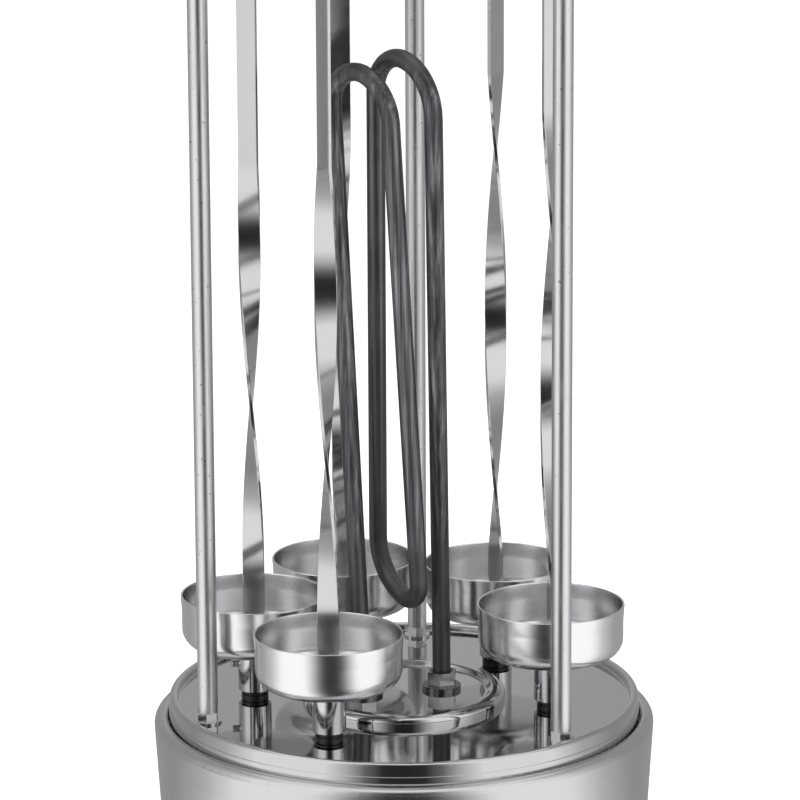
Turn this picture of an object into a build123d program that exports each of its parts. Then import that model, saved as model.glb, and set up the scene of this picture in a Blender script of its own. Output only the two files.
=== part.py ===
from build123d import *
from math import acos, atan2, cos, degrees, pi, radians, sin, sqrt, tan
import os

# Electric upright skewer grill.
# Millimetres. +Z is up, the origin is on the table under the middle of the round base,
# and -Y looks into the wide gap between the first and the last skewer station.

# ---------------------------------------------------------------- driving dimensions
# Skewer stations, in a horseshoe that is open towards -Y
station_count = 5
station_radius = 65.75
station_spacing = 63.3
middle_station_angle = 90.0

# Heights
foot_height = 7.0
deck_height = 95.0
disc_above_deck = 345.0

# Sheet metal
shell_wall = 1.2
deck_wall = 1.2
cover_wall = 1.2
plate_wall = 1.5
boss_wall = 1.0
cup_wall = 0.9
disc_wall = 1.5

# Gear train
gear_teeth = 46
pinion_teeth = 20
pressure_angle = 20.0
tooth_backlash = 0.16
tooth_addendum = 1.0
tooth_dedendum = 1.25
flank_steps = 4
gear_width = 6.0
gear_below_deck = 21.0
gear_hub_radius = 8.0
gear_hub_height = 9.5
pinion_width = 8.0
pinion_hub_radius = 6.0
pinion_hub_height = 7.0
pinion_side = -12.0
spindle_radius = 4.0
spindle_collar_width = 2.0
spindle_tail = 1.0

# Base
gear_to_rim = 8.55
base_taper = 5.0
shoulder_drop = 5.4
shoulder_slope = 0.6
shoulder_width = 6.4
shoulder_corner_radius = 4.0
ledge_width = 5.9
shell_bottom_radius = 3.0
groove_corner_radius = 0.3
wall_cut_depth = 20.0
stud_to_flange_edge = 5.5
cover_inset = 1.5
foot_inset = 11.3
foot_radius = 8.0
vent_count = 8
vent_length = 16.0
vent_width = 3.0
vent_circle_radius = 62.0

# Deck
deck_edge_clearance = 0.4
deck_bead_height = 3.3
deck_bead_width = 3.7
deck_bead_radius = 1.65
deck_bead_foot_radius = 0.6
deck_skirt_step = 0.4
deck_step_radius = 0.15
deck_step_drop = 2.7
deck_skirt_depth = 10.0
deck_centre_hole_radius = 8.0

# Raised pan in the middle of the deck
neck_to_pan = 14.75
pan_floor_height = 2.7
pan_rim_height = 4.7
pan_rim_width = 6.0
pan_rim_slope_width = 2.8
pan_bend_radius = 1.7
pan_rim_radius = 3.2

# Posts
post_angles = [61.9, 178.0, 292.8]
post_inset = 18.5
post_radius = 4.35
stud_radius = 2.5
stud_above_disc = 6.0
spacer_radius = 4.0
post_nut_across_flats = 8.0
foot_nut_height = 4.7
foot_nut_flange_radius = 5.9
foot_nut_flange_height = 1.0
tie_nut_height = 4.0
stud_below_nut = 0.5
cap_nut_height = 5.0
cap_nut_bore_depth = 6.5

# Foot screws
foot_screw_radius = 2.0
foot_screw_head_radius = 3.8
foot_screw_head_height = 2.4
foot_screw_length = 7.5
foot_recess_depth = 4.5

# Drip cups and their sleeves
cup_to_cup = 4.6
cup_depth = 23.2
cup_lip_flare = 0.5
cup_flare_start = 0.7
cup_corner_radius = 8.0
cup_flare_radius = 20.0
sleeve_radius = 7.25
sleeve_height = 20.3
sleeve_neck_radius = 4.5
sleeve_rim_radius = 6.0
sleeve_rim_height = 0.8
screw_radius = 1.5
screw_above_deck = 15.0
screw_proud = 3.0
screw_depth = 1.4
screw_edge_radius = 0.5
spindle_above_screw = 3.5

# Neck bushes in the deck
neck_radius = 6.0
neck_height = 3.1
neck_groove_depth = 0.8
neck_groove_width = 0.8
neck_bush_wall = 1.0
neck_body_length = 6.5

# Carrier plate and the lower bearing bushes in it
plate_rim_gap = 1.0
lower_bush_wall = 1.5
lower_bush_flange_width = 1.5
lower_bush_flange_height = 1.2
lower_bush_below_plate = 1.5

# Skewers: heading of the blade where its twist starts, and how far under the disc the twist ends
blade_width = 9.6
blade_thickness = 1.6
blade_half_turn = 155.0
blade_headings = [76.7, 100.7, 34.6, 162.8, 149.7]
twist_ends_below_disc = [80.0, 75.0, 90.0, 106.0, 95.0]
tang_width = 4.0
tang_neck = 1.1
taper_length = 13.5
blade_below_twist = 10.0
blade_above_disc = 28.0

# Heater: one tube from the left foot to the right foot.
# Plan positions are for the ring of gears at its own size, and follow it when it changes.
heater_ring = 29.75
left_foot = (-17.6, 3.9)
left_lean = (-18.1, 4.9)
left_top = (-22.1, 25.1)
front_top = (-9.3, -7.9)
front_bottom = (2.3, -13.1)
rear_bottom = (-4.7, 16.4)
rear_top = (-4.6, 16.4)
right_top = (4.9, -22.1)
right_foot = (16.7, -3.5)
left_lean_height = 24.2
right_lean_height = 20.0
front_bottom_height = 41.7
rear_bottom_height = 54.3
left_top_drop = 61.1
front_top_drop = 70.6
rear_top_drop = 55.0
right_top_drop = 64.9
heater_bends = [120.0, 15.0, 22.0, 8.5, 25.0, 17.0, 22.0, 200.0]
heater_tube_radius = 4.0
heater_collar_wall = 1.0
heater_collar_below_deck = 8.0
heater_tail = 13.0
heater_nut_wall = 0.9
heater_nut_height = 6.3
heater_lock_nut_height = 5.0
heater_washer_width = 3.5
heater_washer_height = 1.9
heater_sheath_wall = 0.7
bead_height = 4.0
terminal_radius = 1.2
terminal_length = 12.0

# Top disc
disc_edge_to_post = 7.2
disc_hole_radius = 28.0
disc_rim_height = 8.0
disc_corner_radius = 3.0
top_bush_play = 0.73
top_bush_wall = 2.35
top_bush_flange_width = 1.55
top_bush_flange_height = 1.2
top_bush_below_disc = 2.0

# Motor
motor_radius = 25.0
motor_height = 21.0
motor_ear_reach = 31.0
motor_ear_width = 12.0
motor_ear_thickness = 3.0
motor_shaft_radius = 3.5
motor_shaft_depth = 8.0
motor_shaft_end = 1.0
motor_boss_hole_radius = 6.0
motor_screw_radius = 1.5
motor_screw_head_radius = 2.75
motor_screw_head_height = 2.2

# Switch
switch_above_table = 42.0
bezel_width = 23.0
bezel_height = 17.0
bezel_thickness = 1.2
bezel_corner_radius = 1.5
switch_body_width = 19.0
switch_body_height = 13.0
switch_body_depth = 12.0
rocker_width = 15.0
rocker_radius = 5.2
rocker_pivot_depth = 4.1
rocker_side_gap = 0.3
rocker_pin_radius = 1.0
rocker_pin_reach = 1.1
rocker_hollow_radius = 14.0
rocker_hollow_depth = 1.6
rocker_rest_tilt = 10.0

# Cord entry and terminals
cord_above_table = 28.0
cord_radius = 3.5
grommet_neck_radius = 6.5
grommet_inner_radius = 8.0
grommet_outer_radius = 9.0
grommet_inner_length = 2.0
grommet_outer_length = 2.6
grommet_edge_radius = 1.0
terminal_block_length = 26.0
terminal_block_width = 14.0
terminal_block_height = 12.0
terminal_well_radius = 1.75
terminal_well_depth = 6.0
terminal_pitch = 6.5
terminal_row_side = 3.5
wire_hole_radius = 5.0
wire_hole_distance = 22.0

# Clearances
running_gap = 0.05
press_gap = 0.02
hole_gap = 0.25
end_gap = 0.3
slot_gap = 0.2
thread_gap = 0.05
grommet_gap = 0.15

# How far a cutting bar runs past what it cuts
overcut = 1.0

# ---------------------------------------------------------------- derived values
gear_pitch_radius = station_radius * sin(radians(station_spacing / 2))
gear_module = 2 * gear_pitch_radius / gear_teeth
gear_outer_radius = gear_pitch_radius + tooth_addendum * gear_module
pinion_pitch_radius = gear_module * pinion_teeth / 2

base_radius = station_radius + gear_outer_radius + gear_to_rim
bottom_radius = base_radius - base_taper
groove_radius = base_radius - shoulder_width
post_circle_radius = base_radius - post_inset
flange_inner_radius = post_circle_radius - stud_to_flange_edge
foot_circle_radius = bottom_radius - foot_inset
ledge_height = deck_height - deck_skirt_depth
flange_bottom = foot_height + cover_wall
flange_top = flange_bottom + shell_wall

deck_skirt_radius = groove_radius - deck_edge_clearance
deck_bead_outer = deck_skirt_radius - deck_skirt_step
deck_bead_inner = deck_bead_outer - deck_bead_width
pan_radius = station_radius - neck_radius - neck_to_pan
pan_floor_top = deck_height + pan_floor_height
pan_rim_top = deck_height + pan_rim_height

gear_bottom = deck_height - gear_below_deck
gear_top = gear_bottom + gear_width
hub_bottom = gear_bottom - gear_hub_height
plate_top = hub_bottom - end_gap - lower_bush_flange_height
plate_bottom = plate_top - plate_wall
lower_bush_bottom = plate_bottom - lower_bush_below_plate
plate_radius = groove_radius - ledge_width - plate_rim_gap

spindle_collar_radius = spindle_radius + spindle_collar_width
lower_bush_body_radius = spindle_radius + lower_bush_wall
lower_bush_flange_radius = lower_bush_body_radius + lower_bush_flange_width
neck_body_radius = spindle_radius + neck_bush_wall
neck_bottom = deck_height - neck_body_length
screw_height = deck_height + screw_above_deck
spindle_top = screw_height + spindle_above_screw
sleeve_bottom = deck_height + neck_height + end_gap
cup_bottom = sleeve_bottom + sleeve_height
cup_floor = cup_bottom + cup_wall
sleeve_top = cup_floor + sleeve_rim_height
cup_radius = gear_pitch_radius - cup_to_cup / 2
tang_bottom = spindle_top + end_gap
taper_start = sleeve_top + tang_neck - end_gap
twist_start = taper_start + taper_length + blade_below_twist

disc_bottom = deck_height + disc_above_deck
disc_top = disc_bottom + disc_wall
disc_radius = post_circle_radius + disc_edge_to_post
skewer_top = disc_top + blade_above_disc
blade_corner_radius = sqrt(blade_width**2 + blade_thickness**2) / 2
top_bush_bore_radius = blade_corner_radius + top_bush_play
top_bush_body_radius = top_bush_bore_radius + top_bush_wall
top_bush_flange_radius = top_bush_body_radius + top_bush_flange_width

heater_collar_radius = heater_tube_radius + heater_collar_wall
heater_nut_across_flats = 2 * (heater_collar_radius + heater_nut_wall)
heater_washer_radius = heater_collar_radius + heater_washer_width
bead_radius = heater_tube_radius - heater_sheath_wall
heater_washer_top = pan_floor_top + heater_washer_height
heater_nut_top = heater_washer_top + heater_nut_height
heater_tail_bottom = deck_height - heater_tail
heater_scale = (station_radius - gear_outer_radius) / heater_ring

stud_hole_radius = stud_radius + hole_gap
nut_bore_radius = stud_radius + thread_gap
tie_nut_bottom = foot_height - tie_nut_height
stud_bottom = tie_nut_bottom - stud_below_nut

first_station_angle = middle_station_angle - station_spacing * (station_count - 1) / 2
station_angles = [first_station_angle + station_spacing * k for k in range(station_count)]
foot_angles = [45, 135, 225, 315]


# ---------------------------------------------------------------- places
def polar(radius, angle):
    """A place at a radius and a compass angle, in degrees from +X."""
    return Vector(radius * cos(radians(angle)), radius * sin(radians(angle)))


def shell_radius(height):
    """Outer radius of the tapered wall of the base at a height."""
    wall_top = deck_height - shoulder_drop
    return bottom_radius + base_taper * (height - flange_bottom) / (wall_top - flange_bottom)


stations = [polar(station_radius, angle) for angle in station_angles]
posts_at = [polar(post_circle_radius, angle) for angle in post_angles]
feet_at = [polar(foot_circle_radius, angle) for angle in foot_angles]
heater_feet = [Vector(*left_foot) * heater_scale, Vector(*right_foot) * heater_scale]

# The pinion meshes with the last gear of the chain, inside the front gap.
pinion_reach = gear_pitch_radius + pinion_pitch_radius
pinion_step = pinion_side - stations[-1].X
pinion_at = Vector(pinion_side, stations[-1].Y - sqrt(pinion_reach**2 - pinion_step**2))
ears_at = [pinion_at + Vector(motor_ear_reach, 0), pinion_at - Vector(motor_ear_reach, 0)]

# The switch bezel stands against the wall at its upper edge.
bezel_back = shell_radius(switch_above_table + bezel_height / 2)
bezel_front = bezel_back + bezel_thickness
rocker_pivot = bezel_front - rocker_pivot_depth


# ---------------------------------------------------------------- shared shapes
def cylinder(radius, bottom, top, at=Vector(0, 0, 0)):
    """An upright round bar."""
    return Pos(at.X, at.Y, bottom) * extrude(Circle(radius), top - bottom)


def tube(outer, inner, bottom, top, at=Vector(0, 0, 0)):
    """An upright tube."""
    return Pos(at.X, at.Y, bottom) * extrude(Circle(outer) - Circle(inner), top - bottom)


def hexagon(across_flats, bottom, top, at=Vector(0, 0, 0)):
    """An upright six-sided bar."""
    corner_radius = across_flats / 2 / cos(radians(30))
    return Pos(at.X, at.Y, bottom) * extrude(RegularPolygon(corner_radius, 6), top - bottom)


def turned(points, at=Vector(0, 0, 0)):
    """A solid of revolution about Z from (radius, height) corners."""
    corners = [(radius, 0, height) for radius, height in points]
    return Pos(at.X, at.Y, 0) * revolve(make_face(Polyline(*corners, close=True)), Axis.Z)


def pressed(points, radii, wall, side):
    """A sheet pressing: a rounded path of (radius, height) points, given a wall and spun about Z."""
    path = Wire(FilletPolyline(*points, radius=radii).edges())
    outline = path.offset_2d(wall, kind=Kind.ARC, side=side, closed=True)
    return revolve(Plane.XZ * make_face(outline), Axis.Z)


def drilled(sheet, radius, places, bottom, top):
    """The sheet with a round hole at each place."""
    for at in places:
        sheet -= cylinder(radius, bottom - overcut, top + overcut, at)
    return sheet


def save(name, *pieces):
    """Write one sub-part, with its like pieces as separate solids."""
    solids = [solid for piece in pieces for solid in piece.solids()]
    export_step(solids[0] if len(solids) == 1 else Compound(children=solids), f"parts/{name}.step")


os.makedirs("parts", exist_ok=True)


# ---------------------------------------------------------------- base
def base_shell():
    """Tapered pressed shell with a flat shoulder, a ledge for the deck and a flange underneath."""
    wall_top = deck_height - shoulder_drop
    groove_top = wall_top - shoulder_slope
    path = [
        (flange_inner_radius, flange_bottom),
        (bottom_radius, flange_bottom),
        (base_radius, wall_top),
        (groove_radius, groove_top),
        (groove_radius, ledge_height),
        (groove_radius - ledge_width, ledge_height),
    ]
    groove_radii = [shell_wall + groove_corner_radius, groove_corner_radius]
    radii = [shell_bottom_radius, shoulder_corner_radius, *groove_radii]
    shell = pressed(path, radii, shell_wall, Side.LEFT)
    shell = drilled(shell, stud_hole_radius, posts_at, flange_bottom, flange_top)
    shell = drilled(shell, foot_screw_radius + thread_gap, feet_at, flange_bottom, flange_top)
    cut_width = switch_body_width + 2 * hole_gap
    cut_height = switch_body_height + 2 * hole_gap
    switch_cut = Pos(0, -base_radius, switch_above_table) * Box(cut_width, wall_cut_depth, cut_height)
    cord_cut = Pos(0, base_radius, cord_above_table) * Rot(90, 0, 0)
    cord_cut *= Cylinder(grommet_neck_radius + grommet_gap, wall_cut_depth)
    return shell - switch_cut - cord_cut


def bottom_cover():
    """Flat cover with radial vent slots."""
    cover = cylinder(bottom_radius - cover_inset, foot_height, flange_bottom)
    cover = drilled(cover, stud_hole_radius, posts_at, foot_height, flange_bottom)
    cover = drilled(cover, foot_screw_radius + thread_gap, feet_at, foot_height, flange_bottom)
    slot = extrude(SlotOverall(vent_length, vent_width), cover_wall)
    for number in range(vent_count):
        turn = Rot(0, 0, 360 * number / vent_count)
        cover -= turn * Pos(vent_circle_radius, 0, foot_height) * slot
    return cover


def rubber_foot(at):
    """Round foot with a recess for the screw head."""
    foot = cylinder(foot_radius, 0, foot_height, at)
    foot -= cylinder(foot_screw_head_radius + hole_gap, 0, foot_recess_depth, at)
    return foot - cylinder(foot_screw_radius + hole_gap, foot_recess_depth, foot_height, at)


def foot_screw(at):
    """Pan-head screw from under the foot up through the flange of the shell."""
    head_bottom = foot_recess_depth - foot_screw_head_height
    head = cylinder(foot_screw_head_radius, head_bottom, foot_recess_depth, at)
    return head + cylinder(foot_screw_radius, foot_recess_depth, foot_recess_depth + foot_screw_length, at)


save("base_shell", base_shell())
save("bottom_cover", bottom_cover())
save("rubber_feet", *[rubber_foot(at) for at in feet_at])
save("foot_screws", *[foot_screw(at) for at in feet_at])


# ---------------------------------------------------------------- deck and raised pan
def deck_plate():
    """Polished deck with a bead and a step round its edge, and a skirt that stands on the ledge."""
    path = [
        (deck_centre_hole_radius, deck_height),
        (deck_bead_inner, deck_height),
        (deck_bead_inner, deck_height + deck_bead_height),
        (deck_bead_outer, deck_height + deck_bead_height),
        (deck_bead_outer, deck_height - deck_step_drop),
        (deck_skirt_radius, deck_height - deck_step_drop),
        (deck_skirt_radius, ledge_height),
    ]
    radii = [deck_bead_foot_radius, deck_bead_radius, deck_bead_radius, deck_step_radius, deck_step_radius]
    deck = pressed(path, radii, deck_wall, Side.RIGHT)
    floor = (deck_height - deck_wall, deck_height)
    deck = drilled(deck, neck_body_radius + running_gap, stations, *floor)
    deck = drilled(deck, stud_hole_radius, posts_at, *floor)
    return drilled(deck, heater_collar_radius + hole_gap, heater_feet, *floor)


def raised_pan():
    """Low pan with a rounded rim, which the heater's collars clamp to the deck."""
    rim_inner = pan_radius - pan_rim_width
    path = [
        (0, pan_floor_top),
        (rim_inner - pan_rim_slope_width, pan_floor_top),
        (rim_inner, pan_rim_top),
        (pan_radius, pan_rim_top),
        (pan_radius, deck_height),
    ]
    pan = pressed(path, [pan_bend_radius, pan_bend_radius, pan_rim_radius], boss_wall, Side.RIGHT)
    floor_bottom = pan_floor_top - boss_wall
    return drilled(pan, heater_collar_radius + hole_gap, heater_feet, floor_bottom, pan_floor_top)


save("deck_plate", deck_plate())
save("heater_boss", raised_pan())


# ---------------------------------------------------------------- posts and their fastenings
def post(at):
    """Upright rod that steps down to a stud at each end."""
    shank = cylinder(post_radius, deck_height + foot_nut_height, disc_bottom, at)
    return shank + cylinder(stud_radius, stud_bottom, disc_top + stud_above_disc, at)


def post_foot_nut(at):
    """Flanged hexagon nut that the post stands on."""
    flange = cylinder(foot_nut_flange_radius, deck_height, deck_height + foot_nut_flange_height, at)
    nut = hexagon(post_nut_across_flats, deck_height, deck_height + foot_nut_height, at)
    bore = cylinder(nut_bore_radius, deck_height - overcut, deck_height + foot_nut_height + overcut, at)
    return flange + nut - bore


def tie_nut(at):
    """Plain nut under the bottom cover."""
    nut = hexagon(post_nut_across_flats, tie_nut_bottom, foot_height, at)
    return nut - cylinder(nut_bore_radius, tie_nut_bottom - overcut, foot_height + overcut, at)


def spacer_pair(at):
    """Tubes round the stud that hold the shell, the carrier plate and the deck apart."""
    lower = tube(spacer_radius, stud_hole_radius, flange_top, plate_bottom, at)
    upper = tube(spacer_radius, stud_hole_radius, plate_top, deck_height - deck_wall, at)
    return Compound(children=[lower, upper])


def cap_nut(at):
    """Domed nut with a blind thread on the top disc."""
    dome_base = disc_top + cap_nut_height
    nut = hexagon(post_nut_across_flats, disc_top, dome_base, at)
    dome = Sphere(post_nut_across_flats / 2, arc_size1=0, align=(Align.CENTER, Align.CENTER, Align.MIN))
    nut += Pos(at.X, at.Y, dome_base) * dome
    return nut - cylinder(nut_bore_radius, disc_top - overcut, disc_top + cap_nut_bore_depth, at)


save("posts", *[post(at) for at in posts_at])
save("post_foot_nuts", *[post_foot_nut(at) for at in posts_at])
save("tie_nuts", *[tie_nut(at) for at in posts_at])
save("spacer_tubes", *[spacer_pair(at) for at in posts_at])
save("cap_nuts", *[cap_nut(at) for at in posts_at])


# ---------------------------------------------------------------- top disc
def top_disc():
    """Flat ring with a rim turned down, which the three posts carry."""
    path = [(disc_hole_radius, disc_top), (disc_radius, disc_top), (disc_radius, disc_top - disc_rim_height)]
    disc = pressed(path, [disc_corner_radius], disc_wall, Side.RIGHT)
    disc = drilled(disc, top_bush_body_radius + running_gap, stations, disc_bottom, disc_top)
    return drilled(disc, stud_hole_radius, posts_at, disc_bottom, disc_top)


def top_bush(at):
    """Flanged ring that guides the upper end of a skewer."""
    outline = [
        (top_bush_bore_radius, disc_bottom - top_bush_below_disc),
        (top_bush_body_radius, disc_bottom - top_bush_below_disc),
        (top_bush_body_radius, disc_top),
        (top_bush_flange_radius, disc_top),
        (top_bush_flange_radius, disc_top + top_bush_flange_height),
        (top_bush_bore_radius, disc_top + top_bush_flange_height),
    ]
    return turned(outline, at)


save("top_disc", top_disc())
save("top_bushes", *[top_bush(at) for at in stations])


# ---------------------------------------------------------------- bearings and carrier plate
def neck_bush(at):
    """Black grooved bush in the deck that the spindle turns in."""
    bore = spindle_radius + running_gap
    grooved_radius = neck_radius - neck_groove_depth
    groove_bottom = deck_height + (neck_height - neck_groove_width) / 2
    outline = [
        (bore, neck_bottom),
        (neck_body_radius, neck_bottom),
        (neck_body_radius, deck_height),
        (neck_radius, deck_height),
        (neck_radius, groove_bottom),
        (grooved_radius, groove_bottom),
        (grooved_radius, groove_bottom + neck_groove_width),
        (neck_radius, groove_bottom + neck_groove_width),
        (neck_radius, deck_height + neck_height),
        (bore, deck_height + neck_height),
    ]
    return turned(outline, at)


def lower_bush(at):
    """Flanged bearing in the carrier plate."""
    outline = [
        (spindle_radius + running_gap, lower_bush_bottom),
        (lower_bush_body_radius, lower_bush_bottom),
        (lower_bush_body_radius, plate_top),
        (lower_bush_flange_radius, plate_top),
        (lower_bush_flange_radius, plate_top + lower_bush_flange_height),
        (spindle_radius + running_gap, plate_top + lower_bush_flange_height),
    ]
    return turned(outline, at)


def carrier_plate():
    """Round plate on the spacer tubes that carries the bearings and the motor."""
    level = (plate_bottom, plate_top)
    plate = cylinder(plate_radius, *level)
    plate = drilled(plate, lower_bush_body_radius + press_gap, stations, *level)
    plate = drilled(plate, stud_hole_radius, posts_at, *level)
    plate = drilled(plate, motor_boss_hole_radius, [pinion_at], *level)
    plate = drilled(plate, motor_screw_radius + hole_gap, ears_at, *level)
    wire_holes = [Vector(wire_hole_distance, 0), Vector(-wire_hole_distance, 0)]
    return drilled(plate, wire_hole_radius, wire_holes, *level)


save("neck_bushes", *[neck_bush(at) for at in stations])
save("lower_bushes", *[lower_bush(at) for at in stations])
save("carrier_plate", carrier_plate())


# ---------------------------------------------------------------- heater
def heater_element():
    """Bent heating tube with a threaded collar brazed on each foot."""
    corners = [
        (left_foot, -heater_tail - overcut),
        (left_lean, left_lean_height),
        (left_top, disc_above_deck - left_top_drop),
        (front_top, disc_above_deck - front_top_drop),
        (front_bottom, front_bottom_height),
        (rear_bottom, rear_bottom_height),
        (rear_top, disc_above_deck - rear_top_drop),
        (right_top, disc_above_deck - right_top_drop),
        (right_foot, right_lean_height),
        (right_foot, -heater_tail - overcut),
    ]
    points = [(x * heater_scale, y * heater_scale, deck_height + height) for (x, y), height in corners]
    route = Wire(FilletPolyline(*points, radius=heater_bends).edges())
    element = sweep(Plane(origin=points[0], z_dir=(0, 0, 1)) * Circle(heater_tube_radius), path=route)
    for at in heater_feet:
        element -= cylinder(heater_collar_radius, heater_tail_bottom - 2 * overcut, heater_tail_bottom, at)
        collar_bottom = deck_height - heater_collar_below_deck
        element += cylinder(heater_collar_radius, collar_bottom, heater_nut_top, at)
    return element


def heater_washer(at):
    """Thick spacer ring under the heater's nut."""
    return tube(heater_washer_radius, heater_collar_radius + hole_gap, pan_floor_top, heater_washer_top, at)


def heater_nut(at, bottom, height):
    """Hexagon nut on a collar."""
    nut = hexagon(heater_nut_across_flats, bottom, bottom + height, at)
    bore_radius = heater_collar_radius + thread_gap
    return nut - cylinder(bore_radius, bottom - overcut, bottom + height + overcut, at)


def ceramic_bead(at):
    """Insulating bead in the end of the tube, round its terminal pin."""
    bead_bottom = heater_tail_bottom - bead_height
    return tube(bead_radius, terminal_radius + running_gap, bead_bottom, heater_tail_bottom, at)


def terminal_pin(at):
    """Terminal pin that hangs from the end of the tube."""
    return cylinder(terminal_radius, heater_tail_bottom - terminal_length, heater_tail_bottom, at)


lock_nut_bottom = deck_height - deck_wall - heater_lock_nut_height
save("heater_element", heater_element())
save("heater_washers", *[heater_washer(at) for at in heater_feet])
save("heater_nuts", *[heater_nut(at, heater_washer_top, heater_nut_height) for at in heater_feet])
save("heater_lock_nuts", *[heater_nut(at, lock_nut_bottom, heater_lock_nut_height) for at in heater_feet])
save("heater_insulators", *[ceramic_bead(at) for at in heater_feet])
save("heater_terminals", *[terminal_pin(at) for at in heater_feet])


# ---------------------------------------------------------------- gears
def involute_gear(teeth, width):
    """A spur gear with involute flanks and one tooth centred on +X."""
    pitch = gear_module * teeth / 2
    base = pitch * cos(radians(pressure_angle))
    tip = pitch + tooth_addendum * gear_module
    root = pitch - tooth_dedendum * gear_module
    half_tooth = (pi * gear_module / 2 - tooth_backlash) / (2 * pitch)
    involute_at_pitch = tan(radians(pressure_angle)) - radians(pressure_angle)
    flank_start = max(base, root)
    flank_step = (tip - flank_start) / flank_steps
    flank_radii = [flank_start + flank_step * step for step in range(flank_steps + 1)]
    tooth_pitch = 2 * pi / teeth

    def half_angle(radius):
        slope = acos(min(1.0, base / radius))
        return half_tooth + involute_at_pitch - (tan(slope) - slope)

    def at(radius, angle):
        return Vector(radius * cos(angle), radius * sin(angle))

    edges = []
    foot_angle = half_angle(flank_start)
    for tooth in range(teeth):
        middle = tooth * tooth_pitch
        rising = [at(radius, middle - half_angle(radius)) for radius in flank_radii]
        falling = [at(radius, middle + half_angle(radius)) for radius in reversed(flank_radii)]
        foot_before = at(root, middle - foot_angle)
        foot_after = at(root, middle + foot_angle)
        next_foot = at(root, middle + tooth_pitch - foot_angle)
        if root < base:
            edges.append(Edge.make_line(foot_before, rising[0]))
        edges.append(Edge.make_spline(rising))
        edges.append(Edge.make_three_point_arc(rising[-1], at(tip, middle), falling[0]))
        edges.append(Edge.make_spline(falling))
        if root < base:
            edges.append(Edge.make_line(falling[-1], foot_after))
        edges.append(Edge.make_three_point_arc(foot_after, at(root, middle + tooth_pitch / 2), next_foot))
    return extrude(make_face(edges), width)


def hubbed_gear(teeth, width, hub_radius, hub_height, bore_radius):
    """A spur gear with a hub under it and a bore."""
    gear = involute_gear(teeth, width) + cylinder(hub_radius, -hub_height, 0)
    return gear - cylinder(bore_radius, -hub_height - overcut, width + overcut)


def bearing(start, end):
    """Compass angle from one place to another."""
    return degrees(atan2(end.Y - start.Y, end.X - start.X))


def meshing_turn(turn, teeth, toward, next_teeth):
    """The turn of the next gear that puts its gap on this gear's tooth."""
    offset = (toward - turn) * teeth / 360
    return toward + 180 + (offset + 0.5) * 360 / next_teeth


gear_turns = [0.0]
for here, there in zip(stations, stations[1:]):
    gear_turns.append(meshing_turn(gear_turns[-1], gear_teeth, bearing(here, there), gear_teeth))
pinion_turn = meshing_turn(gear_turns[-1], gear_teeth, bearing(stations[-1], pinion_at), pinion_teeth)

pinion_bottom = gear_bottom - (pinion_width - gear_width) / 2
pinion = hubbed_gear(
    pinion_teeth, pinion_width, pinion_hub_radius, pinion_hub_height, motor_shaft_radius + press_gap
)
save("motor_pinion", Pos(pinion_at.X, pinion_at.Y, pinion_bottom) * Rot(0, 0, pinion_turn) * pinion)


# ---------------------------------------------------------------- stations
def spindle():
    """Stepped shaft from the lower bush up into the sleeve, with a blind hole for the side screw."""
    shaft = cylinder(spindle_radius, lower_bush_bottom - spindle_tail, spindle_top)
    shaft += cylinder(spindle_collar_radius, gear_top, neck_bottom - end_gap)
    return shaft - side_hole(spindle_radius - screw_depth - press_gap, spindle_radius + overcut)


def side_hole(start, end):
    """Bar along +X at the height of the side screw."""
    bar = extrude(Circle(screw_radius + thread_gap), end - start)
    return Pos(start, 0, screw_height) * Rot(0, 90, 0) * bar


def sleeve():
    """Bright sleeve on the spindle; its slotted neck is riveted over the floor of the cup."""
    body = cylinder(sleeve_radius, sleeve_bottom, cup_bottom)
    body += cylinder(sleeve_neck_radius, cup_bottom, sleeve_top)
    body += cylinder(sleeve_rim_radius, cup_floor, sleeve_top)
    body -= cylinder(spindle_radius + running_gap, sleeve_bottom - overcut, tang_bottom)
    slot_height = sleeve_top + overcut - tang_bottom
    slot = Box(tang_width + 2 * slot_gap, blade_thickness + 2 * slot_gap, slot_height)
    body -= Pos(0, 0, tang_bottom + slot_height / 2) * slot
    return body - side_hole(0, sleeve_radius + overcut)


def side_screw():
    """Round-ended screw that ties the sleeve to the spindle."""
    length = sleeve_radius + screw_proud - (spindle_radius - screw_depth)
    bar = extrude(Circle(screw_radius), length)
    bar = fillet(bar.faces().sort_by(Axis.Z)[-1].edges(), screw_edge_radius)
    return Pos(spindle_radius - screw_depth, 0, screw_height) * Rot(0, 90, 0) * bar


def drip_cup():
    """Round pressed cup with a slightly flared lip."""
    side_radius = cup_radius - cup_lip_flare
    path = [
        (sleeve_neck_radius + 2 * running_gap, cup_bottom),
        (side_radius, cup_bottom),
        (side_radius, cup_bottom + cup_flare_start * cup_depth),
        (cup_radius, cup_bottom + cup_depth),
    ]
    return pressed(path, [cup_corner_radius, cup_flare_radius], cup_wall, Side.LEFT)


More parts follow.
